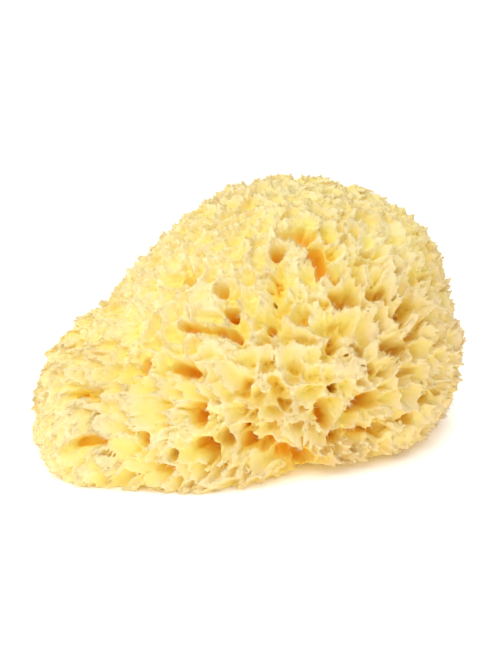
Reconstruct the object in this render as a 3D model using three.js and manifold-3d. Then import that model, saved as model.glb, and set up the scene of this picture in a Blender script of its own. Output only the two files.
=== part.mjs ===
// A natural sea sponge, grown as one piece and cut flat where it stood on the rock.
//
// Millimetres, +Z up. The sponge rests on its cut face at z = 0. The origin is the middle of the
// lower face of its bounding box, and +X runs along the longest side, towards the tall end.

import * as THREE from "three";
import { mergeVertices } from "three/addons/utils/BufferGeometryUtils.js";
import Module from "manifold-3d";

// Driving dimensions: the body is a rounded loaf, low and blunt at -X, tall and full at +X. The
// belly is the level where it is widest, and below it the sides tuck in towards the cut.
const LENGTH = 150;
const LOW_END = { width: 90, top: 42, belly: 6 };
const TALL_END = { width: 108, top: 87, belly: 28 };
const SWELL_START = -1.05;
const SWELL_END = 0.3;
const DEPTH_UNDER_BELLY = 40;
const SQUARENESS = 2.7;
const DEPTH_CUT_OFF = 80;

// Relief of the skin: broad lumps, and the conules that stand between the canals.
const LUMP_SPACING = 36;
const LUMP_RISE = 3;
const CONULE_SPACING = 10;
const CONULE_RISE = 3.5;
const FACET_SPLITS = 15;

// The canals all run out from one point near the middle of the cut face.
const CANAL_ORIGIN = new THREE.Vector3(12, 0, 4);
const CANAL_SIDES = 10;
const CANAL_OVERRUN = 8;

// The largest canal mouths: bearing from -Y towards +X and rise above the cut, in degrees, from
// the canal origin, then the mouth's radius and the canal's depth.
const CANALS = [
  { bearing: -20, rise: 66, radius: 3.6, depth: 15 },
  { bearing: -4, rise: 69, radius: 3.8, depth: 12 },
  { bearing: 5, rise: 52, radius: 4.0, depth: 13 },
  { bearing: 35, rise: 45, radius: 4.0, depth: 13 },
  { bearing: 28, rise: 36, radius: 3.8, depth: 15 },
  { bearing: -42, rise: 43, radius: 3.8, depth: 12 },
  { bearing: -51, rise: 32, radius: 3.2, depth: 11 },
  { bearing: -46, rise: 21, radius: 3.6, depth: 12 },
  { bearing: -43, rise: 11, radius: 4.0, depth: 15 },
  { bearing: -30, rise: 13, radius: 3.6, depth: 12 },
  { bearing: -15, rise: 8, radius: 4.0, depth: 12 },
  { bearing: -4, rise: 22, radius: 3.8, depth: 12 },
  { bearing: 12, rise: 23, radius: 4.0, depth: 13 },
  { bearing: 14, rise: 12, radius: 3.8, depth: 13 },
  { bearing: -73, rise: 18, radius: 3.8, depth: 12 },
  { bearing: 92, rise: 30, radius: 4.0, depth: 14 },
  { bearing: 128, rise: 24, radius: 4.0, depth: 14 },
  { bearing: 152, rise: 46, radius: 3.8, depth: 13 },
  { bearing: 176, rise: 20, radius: 3.8, depth: 13 },
  { bearing: 205, rise: 36, radius: 4.0, depth: 14 },
  { bearing: 232, rise: 14, radius: 3.8, depth: 13 },
];

const wasm = await Module();
wasm.setup();

// A repeatable value from 0 to 1 for one corner of the noise lattice.
function cornerValue(ix, iy, iz) {
  const mixed = Math.sin(ix * 127.1 + iy * 311.7 + iz * 74.7) * 43758.5453;
  return mixed - Math.floor(mixed);
}

// Smooth noise from 0 to 1 whose features are one `spacing` apart.
function noise(point, spacing) {
  const scaled = point.clone().divideScalar(spacing);
  const cell = scaled.clone().floor();
  const fade = scaled.sub(cell).toArray().map((t) => THREE.MathUtils.smoothstep(t, 0, 1));
  let total = 0;
  for (let corner = 0; corner < 8; corner += 1) {
    const step = [corner & 1, (corner >> 1) & 1, corner >> 2];
    const weight = step.reduce((product, on, axis) => product * (on ? fade[axis] : 1 - fade[axis]), 1);
    total += weight * cornerValue(cell.x + step[0], cell.y + step[1], cell.z + step[2]);
  }
  return total;
}

// How far the skin stands out from the plain loaf at a point of it.
function skinRelief(point) {
  const lumps = (noise(point, LUMP_SPACING) - 0.5) * 2 * LUMP_RISE;
  const ridge = 1 - Math.abs(2 * noise(point, CONULE_SPACING) - 1);
  return lumps + (ridge - 0.5) * CONULE_RISE;
}

// The plain loaf: a unit direction is squared off, then stretched by the sizes at its station.
function loafPoint(direction) {
  const parts = direction.toArray().map((value) => Math.abs(value) ** SQUARENESS);
  const reach = parts.reduce((sum, value) => sum + value, 0) ** (-1 / SQUARENESS);
  const unit = direction.clone().multiplyScalar(reach);
  const station = THREE.MathUtils.smoothstep(unit.x, SWELL_START, SWELL_END);
  const width = THREE.MathUtils.lerp(LOW_END.width, TALL_END.width, station);
  const top = THREE.MathUtils.lerp(LOW_END.top, TALL_END.top, station);
  const belly = THREE.MathUtils.lerp(LOW_END.belly, TALL_END.belly, station);
  const height = unit.z > 0 ? top - belly : DEPTH_UNDER_BELLY;
  return new THREE.Vector3(unit.x * LENGTH / 2, unit.y * width / 2, belly + unit.z * height);
}

function bodyGeometry() {
  const geometry = new THREE.IcosahedronGeometry(1, FACET_SPLITS);
  const positions = geometry.getAttribute("position");
  const centre = new THREE.Vector3(0, 0, (LOW_END.belly + TALL_END.belly) / 2);
  for (let i = 0; i < positions.count; i += 1) {
    const direction = new THREE.Vector3().fromBufferAttribute(positions, i).normalize();
    const point = loafPoint(direction);
    const outward = point.clone().sub(centre).normalize();
    point.addScaledVector(outward, skinRelief(point));
    positions.setXYZ(i, point.x, point.y, point.z);
  }
  return geometry;
}

function toSolid(geometry) {
  geometry.deleteAttribute("normal");
  geometry.deleteAttribute("uv");
  const merged = mergeVertices(geometry, 1e-4);
  return new wasm.Manifold(new wasm.Mesh({
    numProp: 3,
    vertProperties: new Float32Array(merged.getAttribute("position").array),
    triVerts: new Uint32Array(merged.index.array),
  }));
}

function toGeometry(solid) {
  const mesh = solid.getMesh();
  const geometry = new THREE.BufferGeometry();
  geometry.setAttribute("position", new THREE.BufferAttribute(mesh.vertProperties, 3));
  geometry.setIndex(new THREE.BufferAttribute(mesh.triVerts, 1));
  geometry.computeVertexNormals();
  return geometry;
}

// Everything under the cut plane, to be taken off the body.
function rockSide() {
  const size = 2 * LENGTH;
  const box = new THREE.BoxGeometry(size, size, DEPTH_CUT_OFF);
  box.translate(0, 0, -DEPTH_CUT_OFF / 2);
  return toSolid(box);
}

function canalDirection({ bearing, rise }) {
  const around = THREE.MathUtils.degToRad(bearing);
  const up = THREE.MathUtils.degToRad(rise);
  return new THREE.Vector3(
    Math.sin(around) * Math.cos(up),
    -Math.cos(around) * Math.cos(up),
    Math.sin(up),
  );
}

// A canal is a funnel, round at the bottom, that opens through the skin along its direction.
function canalSolid(canal, skin) {
  const direction = canalDirection(canal);
  const mouth = new THREE.Raycaster(CANAL_ORIGIN, direction).intersectObject(skin).pop();
  const profile = [
    new THREE.Vector2(0, -canal.depth),
    new THREE.Vector2(canal.radius * 0.5, -canal.depth * 0.88),
    new THREE.Vector2(canal.radius * 0.72, -canal.depth * 0.5),
    new THREE.Vector2(canal.radius, 0),
    new THREE.Vector2(canal.radius * 1.2, CANAL_OVERRUN),
    new THREE.Vector2(0, CANAL_OVERRUN),
  ];
  const funnel = new THREE.LatheGeometry(profile, CANAL_SIDES);
  funnel.applyQuaternion(new THREE.Quaternion().setFromUnitVectors(new THREE.Vector3(0, 1, 0), direction));
  funnel.translate(mouth.point.x, mouth.point.y, mouth.point.z);
  return toSolid(funnel);
}

function spongeGeometry() {
  const body = bodyGeometry();
  const skin = new THREE.Mesh(body.clone(), new THREE.MeshBasicMaterial({ side: THREE.DoubleSide }));
  let solid = toSolid(body).subtract(rockSide());
  for (const canal of CANALS) {
    solid = solid.subtract(canalSolid(canal, skin));
  }
  return toGeometry(solid);
}

// Centres the sponge over the origin, with its cut face left at z = 0.
function centred(geometry) {
  geometry.computeBoundingBox();
  const middle = geometry.boundingBox.getCenter(new THREE.Vector3());
  return geometry.translate(-middle.x, -middle.y, 0);
}

function spongeMaterial() {
  return new THREE.MeshStandardMaterial({ color: 0xfbdc8a, roughness: 0.85, metalness: 0 });
}

const sponge = new THREE.Mesh(centred(spongeGeometry()), spongeMaterial());
sponge.name = "sponge";

const group = new THREE.Group();
group.add(sponge);

export default group;
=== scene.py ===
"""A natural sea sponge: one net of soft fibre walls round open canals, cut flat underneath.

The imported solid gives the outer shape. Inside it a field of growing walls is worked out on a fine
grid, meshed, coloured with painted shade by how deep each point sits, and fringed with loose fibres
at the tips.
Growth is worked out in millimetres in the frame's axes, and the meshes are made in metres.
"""
import math
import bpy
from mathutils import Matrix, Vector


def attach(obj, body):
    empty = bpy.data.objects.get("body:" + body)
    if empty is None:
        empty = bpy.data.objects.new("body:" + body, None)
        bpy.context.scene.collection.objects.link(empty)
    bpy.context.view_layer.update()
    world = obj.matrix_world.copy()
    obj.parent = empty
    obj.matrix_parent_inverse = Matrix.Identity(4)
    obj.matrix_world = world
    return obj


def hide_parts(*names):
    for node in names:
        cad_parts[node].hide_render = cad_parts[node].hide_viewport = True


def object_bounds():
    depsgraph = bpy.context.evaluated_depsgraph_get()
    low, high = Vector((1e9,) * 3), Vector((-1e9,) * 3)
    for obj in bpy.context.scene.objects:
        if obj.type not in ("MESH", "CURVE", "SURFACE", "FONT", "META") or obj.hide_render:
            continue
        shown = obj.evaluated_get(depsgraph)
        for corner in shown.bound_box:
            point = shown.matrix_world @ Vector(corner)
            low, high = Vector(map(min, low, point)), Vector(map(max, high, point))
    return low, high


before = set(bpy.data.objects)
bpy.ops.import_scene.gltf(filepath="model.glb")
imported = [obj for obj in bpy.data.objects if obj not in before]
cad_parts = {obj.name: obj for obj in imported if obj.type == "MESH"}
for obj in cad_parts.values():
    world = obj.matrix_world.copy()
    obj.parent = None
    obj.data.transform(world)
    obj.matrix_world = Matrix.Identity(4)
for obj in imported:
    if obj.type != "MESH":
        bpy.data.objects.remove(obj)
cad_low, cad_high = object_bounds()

from concurrent.futures import ThreadPoolExecutor

import bmesh
import bpy
import numpy as np
import openvdb
from mathutils import Vector
from mathutils.bvhtree import BVHTree

MM = 0.001
THREADS = 4

# The grids, in millimetres: the pitch of the growth field and of the envelope, and how far the
# envelope is measured outwards and inwards.
PITCH = 0.48
SKIN_PITCH = 1.5
OUTER_MARGIN = 9.0
SHELL_DEPTH = 17.0
BAND_SPARE = 4.0

# The walls are worked out from this depth down, and the field is kept this close to zero.
GROWTH_START = -1.5
FIELD_LIMIT = 1.5

# The mesh: how far flat places are merged, then how many triangles it has in all, and how many
# pieces it is split into so that none is too heavy.
ADAPTIVITY = 0.2
BODY_TRIANGLES = 620_000
SECTORS = 4

# The envelope is an icosphere pushed out to the solid, with the canals closed over. Its rays meet
# at the height divided by this, and its corners in the band at the cut face are moved down below.
ENVELOPE_SPLITS = 6
CLOSING_STEPS = 4
CENTRE_DIVISOR = 5
CUT_BAND = 0.3
UNDERCUT = 25.0
EDGE_NUDGE = Vector((0.0004, 0.0007, 0.0011))

# How far from the flow origin the envelope is looked for, and in what steps, in millimetres.
RAY_START = 20
RAY_END = 130
RAY_STEP = 0.25

# Canals and walls all run out from one point near the middle of the cut face.
FLOW_ORIGIN = np.array([12.0, 0.0, 4.0], np.float32)

# The walls lean away from this point of the front, as if combed towards the ends and the top.
COMB_CENTRE = np.array([8.0, 0.0, 34.0], np.float32)
COMB_LEAN = np.array([1.1, 0.0, 0.7], np.float32)
COMB_EASE = 16.0
COMB_STRAY = 1.6

# Low on the left end, past this x and under this height, the walls are drawn out into long streaks.
FOOT_REACH = -25.0
FOOT_REACH_EASE = 20
FOOT_HEIGHT = 38.0
FOOT_HEIGHT_EASE = 15
FOOT_COMB = 1.1

# The side that faces this way is the calm one, with finer and shallower walls. It is calm where the
# envelope faces that way by more than the start, and fully so one ease further on. There the walls
# are combed less, by this share.
CALM_SIDE = np.array([-0.62, -0.25, 0.74], np.float32)
CALM_START = 0.38
CALM_EASE = 0.5
CALM_COMB = 0.5

# Canals, listed one by one: bearing and rise of one end and of the other end of the mouth, in
# degrees from the flow origin, then half the mouth's width and the canal's depth.
CANALS = [
    ((-20, 66), (-20, 65), 3.6, 15),
    ((-4, 69), (-12, 70), 4.2, 8),
    ((0, 64), (1, 59), 3.2, 10),
    ((-19, 58), (-22, 46), 3.4, 5.5),
    ((5, 52), (10, 51), 4.0, 11),
    ((1, 46), (0, 40), 2.2, 13),
    ((20, 51), (24, 50), 3.4, 9),
    ((35, 45), (30, 43), 3.6, 11),
    ((28, 36), (23, 38), 3.6, 15),
    ((34, 37), (37, 40), 2.8, 13),
    ((11, 38), (11, 39), 2.2, 11),
    ((15, 33), (16, 34), 2.2, 12),
    ((27, 29), (33, 28), 2.2, 10),
    ((-57, 43), (-37, 43), 2.4, 8),
    ((-40, 49), (-40, 48), 2.4, 13),
    ((-64, 29), (-64, 28), 2.8, 9),
    ((-53, 32), (-49, 31), 3.0, 11),
    ((-32, 31), (-33, 28), 2.6, 10),
    ((-46, 21), (-45, 19), 3.6, 11),
    ((-57, 12), (-57, 11), 2.0, 12),
    ((-50, 9), (-50, 8), 2.2, 12),
    ((-44, 12), (-41, 10), 3.8, 16),
    ((-37, 14), (-36, 13), 3.6, 9),
    ((-31, 15), (-30, 12), 3.8, 9),
    ((-24, 12), (-25, 10), 3.0, 10),
    ((-19, 8), (-10, 4), 4.0, 13),
    ((-5, 25), (-3, 20), 3.2, 12),
    ((9, 23), (15, 24), 3.4, 12),
    ((-23, 33), (-18, 25), 2.2, 9),
    ((-1, 30), (0, 29), 1.6, 12),
    ((1, 13), (2, 13), 3.2, 10),
    ((10, 14), (11, 13), 3.4, 15),
    ((17, 13), (19, 12), 3.4, 13),
    ((-15, 37), (-13, 36), 2.4, 7),
    ((22, 75), (22, 74), 2.2, 9),
    ((-47, 55), (-47, 54), 2.6, 8),
    ((-66, 56), (-72, 55), 2.2, 8),
    ((-73, 18), (-80, 16), 2.8, 6),
    ((-66, 9), (-72, 7), 2.4, 6),
    ((-54, 4), (-52, 4), 2.8, 10),
    ((37, 17), (42, 17), 3.0, 9),
    ((46, 18), (47, 17), 2.2, 8),
    ((31, 13), (32, 12), 3.0, 9),
    ((92, 30), (95, 28), 3.8, 13),
    ((110, 52), (116, 50), 3.2, 10),
    ((128, 24), (131, 26), 4.0, 13),
    ((152, 46), (150, 42), 3.6, 12),
    ((176, 20), (172, 22), 3.8, 13),
    ((190, 60), (196, 58), 3.2, 10),
    ((205, 36), (209, 33), 4.0, 13),
    ((232, 14), (236, 15), 3.6, 12),
    ((250, 34), (248, 32), 3.0, 10),
]

# Where the outline swells or draws in: bearing and rise from the flow origin in degrees, then the
# width and the height of the swelling in millimetres.
SWELLINGS = [
    (-76, 0, 17, 7.0),
    (-110, 18, 13, 3.0),
    (66, 43, 18, -3.0),
    (63, 27, 15, 2.0),
]

# The front edge of the cut face is lifted off the floor, most of all at one arch.
LIFT_BEARINGS = (-22.0, 70.0)
LIFT_EASE = 12.0
LIFT_HEIGHT = 2.5
ARCH_BEARING = -8.0
ARCH_WIDTH = 8.0
ARCH_HEIGHT = 4.0
LIFT_RUN = 13.0

# Where the spongin is riper and more orange: bearing, rise, width in millimetres and how much.
RIPE_SPOTS = [
    (-3, 64, 12, 0.6),
    (-8, 53, 9, 0.3),
    (-40, 47, 9, 0.3),
    (-42, 11, 6, 0.6),
    (-12, 5, 8, 0.5),
    (10, 14, 8, 0.2),
    (-57, 25, 14, 0.25),
    (-64, 8, 15, 0.35),
]

# Spacing of the cups, of the small cups inside them and of the teeth on their rims, in millimetres.
BIG_SPACING = 7.4
SMALL_SPACING = 3.8
FINE_SPACING = 1.5

# Spacing of the noises, in millimetres.
WANDER_SPACING = 15.0
BEND_SPACING = 7.0
STRAY_SPACING = 19.0
RAGGED_SPACING = 2.6
STRAND_SPACING = 1.3
PATCH_SPACING = 13.0
SWELL_SPACING = 24.0
BEIGE_SPACING = 14.0
BLOTCH_SPACING = 4.5

# How far, from side to side, the cups wander from their flow lines and their tips sway, and the
# depth where the sway ends.
WANDER = 6
SWAY = 6
SWAY_DEPTH = 9

# How much of the depth the cups and the teeth run straight outwards, before the combing.
CUP_RUN = 0.72
TOOTH_RUN = 0.9

# How much of the wander and the sway the listed canals follow, and how ragged their mouths
# are.
CANAL_WANDER = 0.25
CANAL_SWAY = 0.3
MOUTH_BASE = 0.5
MOUTH_RAGGED = 1.1

# The rim of the walls, in millimetres below the envelope. A pair is the amount and what the calm
# side takes off it.
RIM_RAISE = 1.6
SADDLE_START = 1.2
SADDLE_LIMIT = 4
SADDLE = (0.7, 0.4)
TOOTH_FINE = (1.2, 0.3)
TOOTH_RAGGED = (2.4, 1.4)
CALM_RIM = 0.5
PATCH_START = 0.45
PATCH_DROP = 3.0

# The walls between the cups, and the low ones inside them: half their thickness, how far below
# the rim it is reached, and what each millimetre below the rim adds. The rims of the low ones are
# lower by the drop, and by up to the swell more.
WALL_THICK = 1.35
WALL_TAPER = 3.0
WALL_GAIN = 0.06
LOW_WALL_THICK = 0.6
LOW_WALL_TAPER = 2.0
LOW_WALL_GAIN = 0.1
LOW_WALL_DROP = 2.0
LOW_WALL_SWELL = 2.0

# The floor of a cup below its rim: the least depth, what the calm side fills in, then the share
# that differs from cup to cup and the share that differs slowly over the sponge.
CUP_DEPTH = 2.1
CALM_FILL = 1.0
CUP_SPREAD = (4.0, 2.6)
CUP_SWELL = (1.0, 0.4)

# How round the joins of walls and floors are, and how rough every surface is.
WALL_BLEND = 0.8
FLOOR_BLEND = 1.5
STRAND_RELIEF = 1.1

# The loose fibres, in millimetres: each is a bent cone with its root inside the wall.
FIBRES = 36_000
FIBRE_PIECES = 2
FIBRE_LENGTH = (1.0, 4.0)
FIBRE_SHORTENING = (0.4, 1.0)
FIBRE_RADIUS = (0.07, 0.11)
FIBRE_ROOT = 0.4
FIBRE_RUN = 0.8
FIBRE_RISE = 0.5
FIBRE_SPREAD = 0.85
FIBRE_CURL = 0.9
FIBRE_SIDES = 3
FIBRE_BEND = (0.55, 0.45)
FIBRE_TAPER = 0.7
FIBRE_LOWEST = 0.02
UPRIGHT = 0.8

# They grow mostly on open tips: down to this depth, where little crowds them, clear of the floor.
FRINGE_DEPTH = 6
FRINGE_OPEN = 1.1
FRINGE_CROWDED = 1.6
FRINGE_LEAST = 0.05
FRINGE_CLEARANCE = 0.5

# Tone runs from 0 at the pale tips to 1 in the ripe, deep canals. Where the walls crowd and deep
# down it is painted shade, darker and more orange; near the ripe spots and in its blotches it is
# riper spongin. Each row is where it starts to grow, over how much it grows, and by how much: first
# by crowding, then by depth in millimetres. Crowding is the mean share of solid in two boxes of
# these half-sizes.
CROWD_REACH = (2.4, 5.0)
PAINTED_SHADE_CROWD = (0.3, 0.6, 0.34)
PAINTED_SHADE_DEPTH = (0.5, 5, 0.5)
PAINTED_SHADE_DEEP = (6.0, 8, 0.3)
TONE_RIPE = (0.5, 3, 1)
TONE_BLOTCH = 0.3
# The fibres take painted shade too: up to this much tone where they are crowded.
PAINTED_SHADE_FIBRE = 0.25

# The side that faces this way is more beige, as painted shade on the low right side, and the deep
# tones are less so everywhere.
PAINTED_SHADE_SIDE = np.array([0.72, -0.45, -0.65], np.float32)
BEIGE_PATCH = 0.5
BEIGE_LESS = 0.15
BEIGE_FADE = 0.6

# The colours along the tone, as linear red, green and blue, pale to orange, which paints shade into
# the crowded deep places; and what full beige, partly painted shade, multiplies them by.
TIP_COLOUR = (0.96, 0.822, 0.46, 1)
SHADE_AND_RIPENESS_COLOURS = [
    (0.25, (0.96, 0.80, 0.335, 1)),
    (0.5, (0.965, 0.805, 0.245, 1)),
    (0.8, (0.97, 0.78, 0.17, 1)),
]
# The end of the tone: painted shade in deep, crowded canals, and riper spongin at the ripe spots.
RIPE_AND_SHADED_COLOUR = (0.97, 0.62, 0.06, 1)
BEIGE_AND_PAINTED_SHADE = (0.88, 0.81, 0.76, 1)
TIP_ROUGHNESS = 0.9
RIPE_ROUGHNESS = 0.65
SPECULAR = 0.12

# Scattering under the surface of the walls: its share, its depth in millimetres and its colour.
SCATTER = 0.5
SCATTER_DEPTH = 0.9
SCATTER_COLOUR = (1.0, 0.95, 0.9)

# The camera: bearing and rise in degrees, the rest in metres but for the lens, in millimetres.
CAMERA_BEARING = -19
CAMERA_RISE = 21
CAMERA_DISTANCE = 0.75
SENSOR = 36.0
FOCAL_LENGTH = 154.7
AIM = Vector((0.0007, 0.0, 0.0383))

# The floor: its side in metres, its shade, how much it glows, and how near, in millimetres, the
# sponge dims that glow to a painted contact shadow.
FLOOR_SIDE = 6.0
FLOOR_SHADE = (0.95, 0.95, 0.95, 1)
FLOOR_ROUGHNESS = 0.8
FLOOR_SPECULAR = 0.1
FLOOR_GLOW = 0.5
SHADOW_REACH = 9
SHADOW_SAMPLES = 8

# The light all round, and how often light may bounce.
WHITE = (1, 1, 1, 1)
SKY_STRENGTH = 0.67
LIGHT_BOUNCES = 16
DIFFUSE_BOUNCES = 10


# ---------------------------------------------------------------- noise

# Cells to a side before the noise repeats, how far its points stray in their own cells, and a
# squared distance in cells that is beyond any point's.
LATTICE = 64
CELL_JITTER = 0.9
FAR_CELLS = 9


class Lumps:
    """Smooth repeatable noise from 0 to 1 with its features one spacing apart."""

    def __init__(self, spacing, seed):
        self.spacing = spacing
        self.values = np.random.default_rng(seed).random(LATTICE ** 3, dtype=np.float32)

    def at(self, points):
        scaled = points / self.spacing + LATTICE / 2
        cell = np.floor(scaled).astype(np.int32)
        part = scaled - cell
        part = part * part * (3 - 2 * part)
        total = np.zeros(points.shape[1], np.float32)
        for corner in range(8):
            step = (corner & 1, corner >> 1 & 1, corner >> 2)
            index = np.zeros(points.shape[1], np.int32)
            weight = np.ones(points.shape[1], np.float32)
            for axis in range(3):
                index = index * LATTICE + ((cell[axis] + step[axis]) & (LATTICE - 1))
                weight *= part[axis] if step[axis] else 1 - part[axis]
            total += weight * self.values[index]
        return total


class Cells:
    """Points scattered one to a lattice cell, and the distances from anywhere to the nearest."""

    def __init__(self, spacing, seed):
        rng = np.random.default_rng(seed)
        self.spacing = spacing
        self.offsets = rng.random((3, LATTICE ** 3), dtype=np.float32) * CELL_JITTER
        self.values = rng.random(LATTICE ** 3, dtype=np.float32)

    def nearest(self, points):
        """Distances to the three nearest points, and the nearest one's own value."""
        scaled = points / self.spacing + LATTICE / 2
        cell = np.floor(scaled).astype(np.int32)
        part = scaled - cell
        count = points.shape[1]
        first, second, third = (np.full(count, FAR_CELLS, np.float32) for _ in range(3))
        value = np.zeros(count, np.float32)
        for dx in (-1, 0, 1):
            for dy in (-1, 0, 1):
                for dz in (-1, 0, 1):
                    index = (cell[0] + dx) & (LATTICE - 1)
                    index = index * LATTICE + ((cell[1] + dy) & (LATTICE - 1))
                    index = index * LATTICE + ((cell[2] + dz) & (LATTICE - 1))
                    away = (self.offsets[0][index] + dx - part[0]) ** 2
                    away += (self.offsets[1][index] + dy - part[1]) ** 2
                    away += (self.offsets[2][index] + dz - part[2]) ** 2
                    closer = away < first
                    value = np.where(closer, self.values[index], value)
                    third = np.minimum(third, np.maximum(second, away))
                    second = np.minimum(second, np.maximum(first, away))
                    first = np.minimum(first, away)
        return [np.sqrt(d) * self.spacing for d in (first, second, third)] + [value]


def smooth_max(a, b, blend):
    """The greater of the two, rounded where they meet."""
    overlap = np.maximum(blend - np.abs(a - b), 0)
    return np.maximum(a, b) + overlap * overlap / (4 * blend)


# ---------------------------------------------------------------- envelope

def envelope_mesh(node):
    """The node's outer skin in millimetres, canals closed over and sides run on below the cut."""
    mesh = node.data
    corners = [v.co / MM for v in mesh.vertices]
    tree = BVHTree.FromPolygons(corners, [tuple(p.vertices) for p in mesh.polygons])
    ball = bmesh.new()
    bmesh.ops.create_icosphere(ball, subdivisions=ENVELOPE_SPLITS, radius=1.0)
    directions = np.array([v.co.normalized() for v in ball.verts])
    edges = np.array([[v.index for v in e.verts] for e in ball.edges])
    faces = np.array([[v.index for v in f.verts] for f in ball.faces])
    ball.free()
    centre = Vector((0, 0, (cad_high.z - cad_low.z) / CENTRE_DIVISOR / MM))
    far = (cad_high - cad_low).length / MM
    reach = np.empty(len(directions))
    for i, direction in enumerate(directions):
        way = (Vector(direction) + EDGE_NUDGE).normalized()
        hit = tree.ray_cast(centre + way * far, -way)
        reach[i] = (hit[0] - centre).length
    for spread in (np.maximum, np.minimum):
        for _ in range(CLOSING_STEPS):
            after = reach.copy()
            spread.at(after, edges[:, 0], reach[edges[:, 1]])
            spread.at(after, edges[:, 1], reach[edges[:, 0]])
            reach = after
    points = np.array(centre) + directions * reach[:, None]
    points[points[:, 2] < CUT_BAND, 2] = -UNDERCUT
    return points.astype(np.float32), faces.astype(np.uint32)


class Grid:
    """A regular grid of numbers with its own low corner and pitch, in millimetres."""

    def __init__(self, low, pitch, values):
        self.low = np.asarray(low, np.float32)
        self.pitch = pitch
        self.values = values

    def at(self, points):
        scaled = (points - self.low[:, None]) / self.pitch
        limit = np.array(self.values.shape)[:, None] - 1.001
        scaled = np.clip(scaled, 0, limit)
        cell = scaled.astype(np.int32)
        part = (scaled - cell).astype(np.float32)
        total = np.zeros(points.shape[1], np.float32)
        for corner in range(8):
            step = (corner & 1, corner >> 1 & 1, corner >> 2)
            weight = np.ones(points.shape[1], np.float32)
            for axis in range(3):
                weight *= part[axis] if step[axis] else 1 - part[axis]
            index = tuple(cell[axis] + step[axis] for axis in range(3))
            total += weight * self.values[index]
        return total


def depth_grid(points, faces):
    """Distance below the envelope, positive inside, with the swellings added."""
    transform = openvdb.createLinearTransform(SKIN_PITCH)
    level = openvdb.FloatGrid.createLevelSetFromPolygons(
        points,
        triangles=faces,
        transform=transform,
        exBandWidth=OUTER_MARGIN / SKIN_PITCH,
        inBandWidth=(SHELL_DEPTH + BAND_SPARE) / SKIN_PITCH,
    )
    low = np.floor((points.min(0) - OUTER_MARGIN) / SKIN_PITCH).astype(int)
    high = np.ceil((points.max(0) + OUTER_MARGIN) / SKIN_PITCH).astype(int)
    values = np.zeros(high - low + 1, np.float32)
    level.copyToArray(values, ijk=tuple(int(v) for v in low))
    depth = Grid(low * SKIN_PITCH, SKIN_PITCH, -values)
    swellings = [
        (skin_point(depth, bearing, rise), width, height)
        for bearing, rise, width, height in SWELLINGS
    ]
    axes = [np.arange(start, end + 1) for start, end in zip(low, high)]
    spots = np.stack(np.meshgrid(*axes, indexing="ij"))
    for centre, width, height in swellings:
        off = spots * SKIN_PITCH - centre[:, None, None, None]
        depth.values += height * np.exp(-(off * off).sum(0) / width ** 2)
    return depth


# ---------------------------------------------------------------- growth

def direction_of(bearing, rise):
    """The way out at that bearing from the front, towards +X, and that rise above level."""
    around, up = math.radians(bearing), math.radians(rise)
    flat = math.cos(up)
    return np.array([math.sin(around) * flat, -math.cos(around) * flat, math.sin(up)])


def skin_point(depth, bearing, rise):
    """Where a ray from the flow origin leaves the envelope."""
    way = direction_of(bearing, rise)
    steps = np.arange(RAY_START, RAY_END, RAY_STEP)
    line = (FLOW_ORIGIN[:, None] + way[:, None] * steps).astype(np.float32)
    inside = depth.at(line) > 0
    return line[:, np.flatnonzero(inside)[-1]]


def calmed(amount, calm):
    """The first of the pair, less the second where the side is calm."""
    return amount[0] - amount[1] * calm


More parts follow.
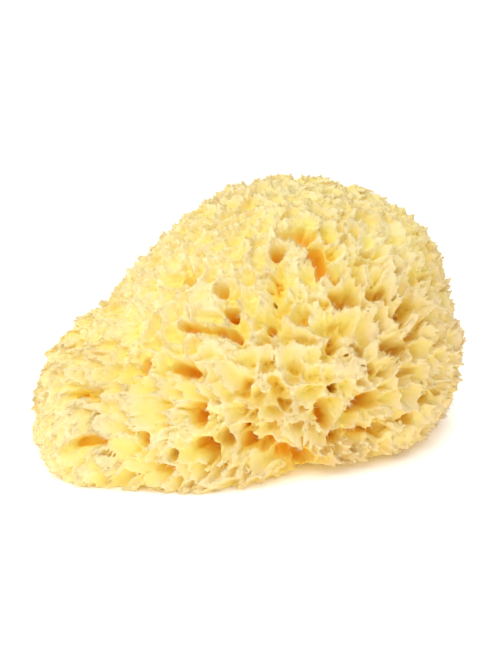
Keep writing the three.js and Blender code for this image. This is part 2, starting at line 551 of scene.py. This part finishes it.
class Growth:
    """The sponge as a field: positive in a wall, negative in the open, about in millimetres."""

    def __init__(self, depth):
        self.slopes = [Grid(depth.low, depth.pitch, -slope) for slope in np.gradient(depth.values)]
        self.big = Cells(BIG_SPACING, seed=11)
        self.small = Cells(SMALL_SPACING, seed=23)
        self.fine = Cells(FINE_SPACING, seed=37)
        self.wander = [Lumps(WANDER_SPACING, seed=50 + axis) for axis in range(3)]
        self.bend = [Lumps(BEND_SPACING, seed=60 + axis) for axis in range(3)]
        self.stray = [Lumps(STRAY_SPACING, seed=80 + axis) for axis in range(3)]
        self.ragged = Lumps(RAGGED_SPACING, seed=77)
        self.strand = Lumps(STRAND_SPACING, seed=79)
        self.patch = Lumps(PATCH_SPACING, seed=71)
        self.swell = Lumps(SWELL_SPACING, seed=73)
        self.canals = [
            (skin_point(depth, *start), skin_point(depth, *end), radius, reach)
            for start, end, radius, reach in CANALS
        ]

    def canal_floor(self, skin):
        """Depth of the listed canals under each skin point, with ragged mouths."""
        floor = np.zeros(skin.shape[1], np.float32)
        ragged = MOUTH_BASE + MOUTH_RAGGED * self.ragged.at(skin)
        for start, end, radius, reach in self.canals:
            along = end - start
            length = max(float(along @ along), 1e-6)
            part = np.clip(((skin - start[:, None]) * along[:, None]).sum(0) / length, 0, 1)
            off = skin - start[:, None] - along[:, None] * part
            ratio = np.clip(np.sqrt((off * off).sum(0)) / radius * ragged, 0, 1)
            floor = np.maximum(floor, reach * (1 - ratio ** 2))
        return floor

    def face(self, points):
        """Which way the envelope faces."""
        face = np.stack([slope.at(points) for slope in self.slopes])
        return face / (np.sqrt((face * face).sum(0)) + 1e-3)

    def flow(self, points):
        """Which way the walls run out, how they are combed sideways, and how calm the side is."""
        out = points - FLOW_ORIGIN[:, None]
        out /= np.sqrt((out * out).sum(0))
        comb = points - COMB_CENTRE[:, None]
        comb = comb / np.sqrt(comb * comb + COMB_EASE ** 2) * COMB_LEAN[:, None]
        comb += np.stack([lumps.at(points) - 0.5 for lumps in self.stray]) * COMB_STRAY
        face = self.face(points)
        comb -= face * (comb * face).sum(0)
        calm = np.clip((CALM_SIDE @ face - CALM_START) / CALM_EASE, 0, 1)
        foot = np.clip((FOOT_REACH - points[0]) / FOOT_REACH_EASE, 0, 1)
        foot *= np.clip((FOOT_HEIGHT - points[2]) / FOOT_HEIGHT_EASE, 0, 1)
        comb *= 1 - CALM_COMB * calm + FOOT_COMB * foot
        return out, comb, calm

    def lift(self, points, depth):
        """How far the cut face is above the floor: zero except near the front edge."""
        bearing = np.degrees(np.arctan2(points[0] - FLOW_ORIGIN[0], -points[1]))
        span = np.minimum(bearing - LIFT_BEARINGS[0], LIFT_BEARINGS[1] - bearing) / LIFT_EASE
        arch = np.exp(-((bearing - ARCH_BEARING) / ARCH_WIDTH) ** 2)
        height = LIFT_HEIGHT * np.clip(span, 0, 1) + ARCH_HEIGHT * arch
        return height * np.clip(1 - depth / LIFT_RUN, 0, 1)

    def at(self, points, depth):
        """The field at these points, each at that depth below the envelope."""
        out, comb, calm = self.flow(points)
        near_tip = np.clip(1 - depth / SWAY_DEPTH, 0, 1) ** 2
        drift = np.stack([lumps.at(points) - 0.5 for lumps in self.wander]) * WANDER
        sway = np.stack([lumps.at(points) - 0.5 for lumps in self.bend]) * SWAY * near_tip
        moved = points + drift + sway
        skin = moved + out * depth
        cup_run = moved + (out * CUP_RUN + comb) * depth
        tooth_run = points + sway + (out * TOOTH_RUN + comb) * depth

        near, second, third, own = self.big.nearest(cup_run)
        small_near, small_second, _, _ = self.small.nearest(cup_run)
        fine_near, _, _, _ = self.fine.nearest(tooth_run)
        patch = self.patch.at(skin)
        swell = self.swell.at(skin)

        # How far the rim of the wall is below the envelope here.
        saddle = np.clip(third - near - SADDLE_START, 0, SADDLE_LIMIT) * calmed(SADDLE, calm)
        tooth = calmed(TOOTH_FINE, calm) * fine_near
        tooth = tooth + calmed(TOOTH_RAGGED, calm) * self.ragged.at(skin) + CALM_RIM * calm
        rim = saddle + tooth + PATCH_DROP * np.clip(patch - PATCH_START, 0, 1) - RIM_RAISE
        rim += self.canal_floor(points + drift * CANAL_WANDER + sway * CANAL_SWAY + out * depth)
        rise = depth - rim

        wall = WALL_THICK * np.minimum(rise / WALL_TAPER, 1.0)
        wall = wall + WALL_GAIN * np.maximum(rise, 0) - (second - near) / 2
        low_rise = rise - LOW_WALL_DROP - LOW_WALL_SWELL * swell
        low_wall = LOW_WALL_THICK * np.minimum(low_rise / LOW_WALL_TAPER, 1.0)
        low_wall = low_wall + LOW_WALL_GAIN * np.maximum(low_rise, 0)
        low_wall = low_wall - (small_second - small_near) / 2
        floor = rise - CUP_DEPTH + CALM_FILL * calm
        floor = floor - calmed(CUP_SPREAD, calm) * own - calmed(CUP_SWELL, calm) * swell

        solid = smooth_max(wall, low_wall, WALL_BLEND)
        solid = smooth_max(solid, floor, FLOOR_BLEND)
        solid += (self.strand.at(tooth_run) - 0.5) * STRAND_RELIEF
        return solid


def growth_grid(growth, depth):
    """The growth field on a fine grid over the whole sponge, and cut off flat below zero."""
    low = np.array(cad_low) / MM - OUTER_MARGIN
    low[2] = -2 * PITCH
    high = np.array(cad_high) / MM + OUTER_MARGIN
    shape = np.ceil((high - low) / PITCH).astype(int) + 1
    axes = [low[i] + PITCH * np.arange(shape[i]) for i in range(3)]
    values = np.full(shape, -FIELD_LIMIT, np.float32)
    side = np.stack(np.meshgrid(axes[1], axes[2], indexing="ij")).reshape(2, -1).astype(np.float32)

    def fill(i):
        points = np.vstack([np.full((1, side.shape[1]), axes[0][i], np.float32), side])
        below = depth.at(points)
        layer = np.where(below > 0, FIELD_LIMIT, -FIELD_LIMIT).astype(np.float32)
        shell = (below > GROWTH_START) & (below < SHELL_DEPTH) & (points[2] > -PITCH)
        if shell.any():
            layer[shell] = growth.at(points[:, shell], below[shell])
        layer = np.minimum(layer, points[2] - growth.lift(points, below))
        values[i] = np.clip(layer, -FIELD_LIMIT, FIELD_LIMIT).reshape(shape[1], shape[2])

    with ThreadPoolExecutor(THREADS) as pool:
        list(pool.map(fill, range(shape[0])))
    return Grid(low, PITCH, values)


# ---------------------------------------------------------------- mesh

def surface_of(field):
    """Triangles of the field's zero surface, in millimetres."""
    grid = openvdb.FloatGrid(FIELD_LIMIT)
    grid.copyFromArray(-field.values)
    points, triangles, quads = grid.convertToPolygons(isovalue=0.0, adaptivity=ADAPTIVITY)
    points = points * field.pitch + field.low
    quads = quads.astype(np.int64)
    faces = np.vstack([triangles.astype(np.int64), quads[:, [0, 1, 2]], quads[:, [0, 2, 3]]])
    return points, faces


def largest_part(points, faces):
    """Only the faces that hang together in the biggest part, so no crumb floats free."""
    label = np.arange(len(points))
    edges = np.vstack([faces[:, [0, 1]], faces[:, [1, 2]]])
    while True:
        low = np.minimum(label[edges[:, 0]], label[edges[:, 1]])
        new = label.copy()
        np.minimum.at(new, edges[:, 0], low)
        np.minimum.at(new, edges[:, 1], low)
        new = new[new]
        if (new == label).all():
            break
        label = new
    names, counts = np.unique(label, return_counts=True)
    keep = label == names[counts.argmax()]
    faces = faces[keep[faces[:, 0]]]
    order = np.cumsum(keep) - 1
    return points[keep], order[faces]


def thinned(points, faces, count):
    """The same surface with about that many triangles."""
    mesh = bpy.data.meshes.new("thinned")
    mesh.from_pydata(points.tolist(), [], faces.tolist())
    whole = bpy.data.objects.new("thinned", mesh)
    bpy.context.scene.collection.objects.link(whole)
    whole.modifiers.new("collapse", "DECIMATE").ratio = count / len(faces)
    result = whole.evaluated_get(bpy.context.evaluated_depsgraph_get()).to_mesh()
    points = np.empty(len(result.vertices) * 3, np.float32)
    result.vertices.foreach_get("co", points)
    result.calc_loop_triangles()
    faces = np.empty(len(result.loop_triangles) * 3, np.int32)
    result.loop_triangles.foreach_get("vertices", faces)
    bpy.data.objects.remove(whole)
    bpy.data.meshes.remove(mesh)
    return points.reshape(-1, 3), faces.reshape(-1, 3)


def vertex_normals(points, faces):
    """The mean way each corner's faces look, weighed by their area."""
    normals = np.zeros_like(points, dtype=np.float64)
    a, b, c = (points[faces[:, i]] for i in range(3))
    flat = np.cross(b - a, c - a)
    for i in range(3):
        np.add.at(normals, faces[:, i], flat)
    return normals / np.maximum(np.linalg.norm(normals, axis=1, keepdims=True), 1e-9)


def crowding(field, radius):
    """Share of solid within a box of that half-size round each grid point."""
    share = (field.values > 0).astype(np.float32)
    half = max(1, round(radius / field.pitch))
    for axis in range(3):
        width = [(0, 0)] * 3
        width[axis] = (half + 1, half)
        total = np.cumsum(np.pad(share, width, mode="edge"), axis=axis, dtype=np.float32)
        upper = np.take(total, np.arange(2 * half + 1, total.shape[axis]), axis=axis)
        lower = np.take(total, np.arange(0, total.shape[axis] - 2 * half - 1), axis=axis)
        share = (upper - lower) / (2 * half + 1)
    return Grid(field.low, field.pitch, share)


def make_piece(name, points, faces, normals, painted_shade_and_ripeness, beige_and_painted_shade, material):
    """A mesh object in metres with its own normals, and the two numbers that colour it, both partly
    painted shade.
    """
    used = np.unique(faces)
    order = np.full(len(points), -1)
    order[used] = np.arange(len(used))
    corners = order[faces].astype(np.int32)
    mesh = bpy.data.meshes.new(name)
    mesh.vertices.add(len(used))
    mesh.vertices.foreach_set("co", (points[used] * MM).astype(np.float32).ravel())
    mesh.loops.add(corners.size)
    mesh.loops.foreach_set("vertex_index", corners.ravel())
    mesh.polygons.add(len(corners))
    mesh.polygons.foreach_set("loop_start", np.arange(0, corners.size, 3, dtype=np.int32))
    mesh.update(calc_edges=True)
    mesh.polygons.foreach_set("use_smooth", np.ones(len(corners), bool))
    for label, values in (("painted_shade_and_ripeness", painted_shade_and_ripeness), ("beige_and_painted_shade", beige_and_painted_shade)):
        attribute = mesh.attributes.new(label, "FLOAT", "POINT")
        attribute.data.foreach_set("value", values[used].astype(np.float32))
    look = np.stack([painted_shade_and_ripeness[used], beige_and_painted_shade[used]], axis=1)[corners.ravel()]
    mesh.uv_layers.new(name="OFBake").data.foreach_set("uv", look.astype(np.float32).ravel())
    mesh.normals_split_custom_set_from_vertices(normals[used].tolist())
    mesh.materials.append(material)
    piece = bpy.data.objects.new(name, mesh)
    bpy.context.scene.collection.objects.link(piece)
    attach(piece, "root")
    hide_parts("sponge")
    return piece


# ---------------------------------------------------------------- fibres

def unit(vectors):
    return vectors / np.maximum(np.linalg.norm(vectors, axis=1, keepdims=True), 1e-9)


def fibre_mesh(roots, ways, lengths, radii, curl):
    """Thin bent cones, each closed at its root: two rings of three corners and a tip."""
    count = len(roots)
    middles = roots + ways * lengths[:, None] * FIBRE_BEND[0]
    tips = middles + unit(ways + curl) * lengths[:, None] * FIBRE_BEND[1]
    across = np.where(np.abs(ways[:, 2:]) < UPRIGHT, [[0, 0, 1]], [[1, 0, 0]])
    side = unit(np.cross(ways, across))
    other = np.cross(ways, side)
    rings = []
    for centre, scale in ((roots, 1.0), (middles, FIBRE_TAPER)):
        for k in range(FIBRE_SIDES):
            angle = 2 * math.pi * k / FIBRE_SIDES
            arm = side * math.cos(angle) + other * math.sin(angle)
            rings.append(centre + arm * (radii * scale)[:, None])
    points = np.stack(rings + [tips], axis=1)
    points[:, :, 2] = np.maximum(points[:, :, 2], FIBRE_LOWEST)
    pattern = [(2, 1, 0)]
    for k in range(FIBRE_SIDES):
        after = (k + 1) % FIBRE_SIDES
        pattern += [(k, after, FIBRE_SIDES + after), (k, FIBRE_SIDES + after, FIBRE_SIDES + k)]
        pattern.append((FIBRE_SIDES + k, FIBRE_SIDES + after, 2 * FIBRE_SIDES))
    per_fibre = points.shape[1]
    faces = np.array(pattern)[None] + np.arange(count)[:, None, None] * per_fibre
    return points.reshape(-1, 3), faces.reshape(-1, 3)


def build_fibres(growth, points, normals, below, crowd, material):
    """A fringe of loose fibres on the tips of the walls, lying the way the walls are combed."""
    rng = np.random.default_rng(seed=5)
    wanted = np.clip(1 - below / FRINGE_DEPTH, 0, 1)
    wanted *= np.clip(FRINGE_OPEN - crowd * FRINGE_CROWDED, FRINGE_LEAST, 1) ** 2
    wanted *= 1 + growth.flow(points.T.astype(np.float32))[2]
    wanted[points[:, 2] < FRINGE_CLEARANCE] = 0
    chosen = rng.choice(len(points), FIBRES, p=wanted / wanted.sum())
    spots = points[chosen].T.astype(np.float32)
    out, comb, _ = growth.flow(spots)
    stray = rng.normal(size=(FIBRES, 3)) * FIBRE_SPREAD
    ways = unit((out * FIBRE_RUN + comb).T + normals[chosen] * FIBRE_RISE + stray)
    lengths = rng.uniform(*FIBRE_LENGTH, FIBRES) * rng.uniform(*FIBRE_SHORTENING, FIBRES)
    radii = rng.uniform(*FIBRE_RADIUS, FIBRES)
    curl = rng.normal(size=(FIBRES, 3)) * FIBRE_CURL
    roots = points[chosen] - ways * FIBRE_ROOT
    corners, faces = fibre_mesh(roots, ways, lengths, radii, curl)
    # Painted shade on the fibres: their tone grows where they are crowded.
    painted_shade_and_ripeness = np.repeat(PAINTED_SHADE_FIBRE * np.clip(crowd[chosen], 0, 1), 2 * FIBRE_SIDES + 1)
    beige_and_painted_shade = beige_and_painted_shade_at(growth, corners.T.astype(np.float32))
    corner_normals = vertex_normals(corners, faces)
    turn = np.arctan2(roots[:, 1], roots[:, 0] - points[:, 0].mean())
    cuts = np.quantile(turn, np.linspace(0, 1, FIBRE_PIECES + 1))
    cuts[-1] += 1
    owner = np.repeat(turn, len(faces) // FIBRES)
    for i in range(FIBRE_PIECES):
        part = faces[(owner >= cuts[i]) & (owner < cuts[i + 1])]
        make_piece(f"fibres_{i + 1}", corners, part, corner_normals, painted_shade_and_ripeness, beige_and_painted_shade, material)


# ---------------------------------------------------------------- look

def node_of(tree, kind, **values):
    """A new node with those settings."""
    node = tree.nodes.new(kind)
    for key, value in values.items():
        setattr(node, key, value)
    return node


def spongin_material(name, scatter):
    """Spongin coloured by tone and tint, both partly painted shade, with that share of scattering
    under the surface.
    """
    material = bpy.data.materials.new(name)
    material.use_nodes = True
    tree = material.node_tree
    shader = tree.nodes["Principled BSDF"]
    shader.inputs["Specular IOR Level"].default_value = SPECULAR
    shader.inputs["Subsurface Weight"].default_value = scatter
    shader.inputs["Subsurface Radius"].default_value = SCATTER_COLOUR
    shader.inputs["Subsurface Scale"].default_value = SCATTER_DEPTH * MM
    # The tone carries painted shade: the ramp runs darker and more orange into crowded, deep
    # places.
    painted_shade_and_ripeness = node_of(tree, "ShaderNodeAttribute", attribute_name="painted_shade_and_ripeness")
    ramp = node_of(tree, "ShaderNodeValToRGB")
    stops = ramp.color_ramp.elements
    stops[0].color = TIP_COLOUR
    stops[1].color = RIPE_AND_SHADED_COLOUR
    for place, colour in SHADE_AND_RIPENESS_COLOURS:
        stop = stops.new(place)
        stop.color = colour
    tree.links.new(painted_shade_and_ripeness.outputs["Fac"], ramp.inputs["Fac"])
    # The tint multiplies in beige: its own soft patches, and painted shade on the low right side.
    beige_and_painted_shade = node_of(tree, "ShaderNodeAttribute", attribute_name="beige_and_painted_shade")
    shade = node_of(tree, "ShaderNodeMix", data_type="RGBA", blend_type="MULTIPLY")
    factor, base, multiplier = shade.inputs[0], shade.inputs[6], shade.inputs[7]
    multiplier.default_value = BEIGE_AND_PAINTED_SHADE
    tree.links.new(beige_and_painted_shade.outputs["Fac"], factor)
    tree.links.new(ramp.outputs["Color"], base)
    rough = node_of(tree, "ShaderNodeMapRange")
    rough.inputs["To Min"].default_value = TIP_ROUGHNESS
    rough.inputs["To Max"].default_value = RIPE_ROUGHNESS
    tree.links.new(painted_shade_and_ripeness.outputs["Fac"], rough.inputs["Value"])
    tree.links.new(rough.outputs["Result"], shader.inputs["Roughness"])
    tree.links.new(shade.outputs[2], shader.inputs["Base Color"])
    return material


def beige_and_painted_shade_at(growth, spots):
    """How beige the spongin is: in soft patches of its own, and more on the low right side as
    painted shade.
    """
    # Painted shade: the side that faces low and right is made beige and darker.
    side = np.clip(PAINTED_SHADE_SIDE @ growth.face(spots), 0, 1)
    patches = BEIGE_PATCH * Lumps(BEIGE_SPACING, seed=91).at(spots) - BEIGE_LESS
    return np.clip(patches + side, 0, 1)


def grown(values, start, run, amount):
    """Nothing up to the start, and the whole amount one run further on."""
    return np.clip((values - start) / run, 0, 1) * amount


def painted_shade_and_ripeness_at(depth, spots, crowd, below):
    """The tone: painted shade, more where the walls are crowded and where they are deep, then riper
    spongin near a ripe spot, and random blotches.
    """
    # Crowding and depth paint shade into the colour.
    painted_shade_and_ripeness = grown(crowd, *PAINTED_SHADE_CROWD) + grown(below, *PAINTED_SHADE_DEPTH)
    painted_shade_and_ripeness += grown(below, *PAINTED_SHADE_DEEP)
    for bearing, rise, width, amount in RIPE_SPOTS:
        off = spots - skin_point(depth, bearing, rise)[:, None]
        painted_shade_and_ripeness += amount * np.exp(-(off * off).sum(0) / width ** 2) * grown(below, *TONE_RIPE)
    painted_shade_and_ripeness += TONE_BLOTCH * (Lumps(BLOTCH_SPACING, seed=93).at(spots) - 0.5)
    return np.clip(painted_shade_and_ripeness, 0, 1)


def build_sponge(material, fibre_material):
    """The net of walls in its sectors, and then the fibres."""
    points, faces = envelope_mesh(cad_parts["sponge"])
    depth = depth_grid(points, faces)
    growth = Growth(depth)
    field = growth_grid(growth, depth)
    points, faces = surface_of(field)
    points, faces = largest_part(points, faces)
    points, faces = thinned(points, faces, BODY_TRIANGLES)
    normals = vertex_normals(points, faces)
    spots = points.T.astype(np.float32)
    crowd = sum(0.5 * crowding(field, reach).at(spots) for reach in CROWD_REACH)
    below = depth.at(spots)
    # The tone and the tint both paint shade into the colour.
    painted_shade_and_ripeness = painted_shade_and_ripeness_at(depth, spots, crowd, below)
    beige_and_painted_shade = beige_and_painted_shade_at(growth, spots) * (1 - BEIGE_FADE * painted_shade_and_ripeness)
    middle = points[faces].mean(1) - points.mean(0)
    turn = np.arctan2(middle[:, 1], middle[:, 0])
    cuts = np.quantile(turn, np.linspace(0, 1, SECTORS + 1))
    cuts[-1] += 1
    for i in range(SECTORS):
        part = faces[(turn >= cuts[i]) & (turn < cuts[i + 1])]
        make_piece(f"walls_{i + 1}", points, part, normals, painted_shade_and_ripeness, beige_and_painted_shade, material)
    build_fibres(growth, points, normals, below, crowd, fibre_material)


# ---------------------------------------------------------------- stage

def make_camera():
    """The photograph's view: a long lens, a little above and towards the low end."""
    data = bpy.data.cameras.new("camera")
    data.sensor_fit = "HORIZONTAL"
    data.sensor_width = SENSOR
    data.lens = FOCAL_LENGTH
    camera = bpy.data.objects.new("camera", data)
    away = Vector(direction_of(CAMERA_BEARING, CAMERA_RISE))
    camera.location = AIM + away * CAMERA_DISTANCE
    camera.rotation_euler = (-away).to_track_quat("-Z", "Y").to_euler()
    bpy.context.scene.collection.objects.link(camera)
    bpy.context.scene.camera = camera


def make_floor():
    """A white floor that glows a little, but not right beside the sponge, where the dimmed glow is
    a painted contact shadow.
    """
    bpy.ops.mesh.primitive_plane_add(size=FLOOR_SIDE, location=(0, 0, 0))
    floor = bpy.context.object
    floor.name = "floor"
    table = bpy.data.materials.new("light_table")
    table.use_nodes = True
    shader = table.node_tree.nodes["Principled BSDF"]
    shader.inputs["Base Color"].default_value = FLOOR_SHADE
    shader.inputs["Roughness"].default_value = FLOOR_ROUGHNESS
    shader.inputs["Specular IOR Level"].default_value = FLOOR_SPECULAR
    shader.inputs["Emission Color"].default_value = WHITE
    # Painted contact shadow: the glow fades where the sponge closes off the sky nearby.
    open_sky = node_of(table.node_tree, "ShaderNodeAmbientOcclusion", samples=SHADOW_SAMPLES)
    open_sky.inputs["Distance"].default_value = SHADOW_REACH * MM
    glow_with_painted_shadow = node_of(table.node_tree, "ShaderNodeMath", operation="MULTIPLY")
    glow_with_painted_shadow.inputs[1].default_value = FLOOR_GLOW
    table.node_tree.links.new(open_sky.outputs["AO"], glow_with_painted_shadow.inputs[0])
    table.node_tree.links.new(glow_with_painted_shadow.outputs[0], shader.inputs["Emission Strength"])
    floor.data.materials.append(table)


def soft_sun(name, bearing, rise, strength, spread):
    """Light from that way, as wide as the spread in degrees."""
    data = bpy.data.lights.new(name, "SUN")
    data.energy = strength
    data.angle = math.radians(spread)
    light = bpy.data.objects.new(name, data)
    away = Vector(direction_of(bearing, rise))
    light.rotation_euler = (-away).to_track_quat("-Z", "Y").to_euler()
    bpy.context.scene.collection.objects.link(light)


def make_stage():
    """Camera, floor, one soft light from the left and a white sky."""
    make_camera()
    make_floor()
    soft_sun("key", bearing=-80, rise=62, strength=1.47, spread=70)
    world = bpy.data.worlds.new("studio")
    world.use_nodes = True
    sky = world.node_tree.nodes["Background"]
    sky.inputs["Color"].default_value = WHITE
    sky.inputs["Strength"].default_value = SKY_STRENGTH
    scene = bpy.context.scene
    scene.world = world
    scene.view_settings.view_transform = "Standard"
    scene.cycles.max_bounces = LIGHT_BOUNCES
    scene.cycles.diffuse_bounces = DIFFUSE_BOUNCES


make_stage()
build_sponge(spongin_material("spongin", SCATTER), spongin_material("spongin_fibres", 0.0))
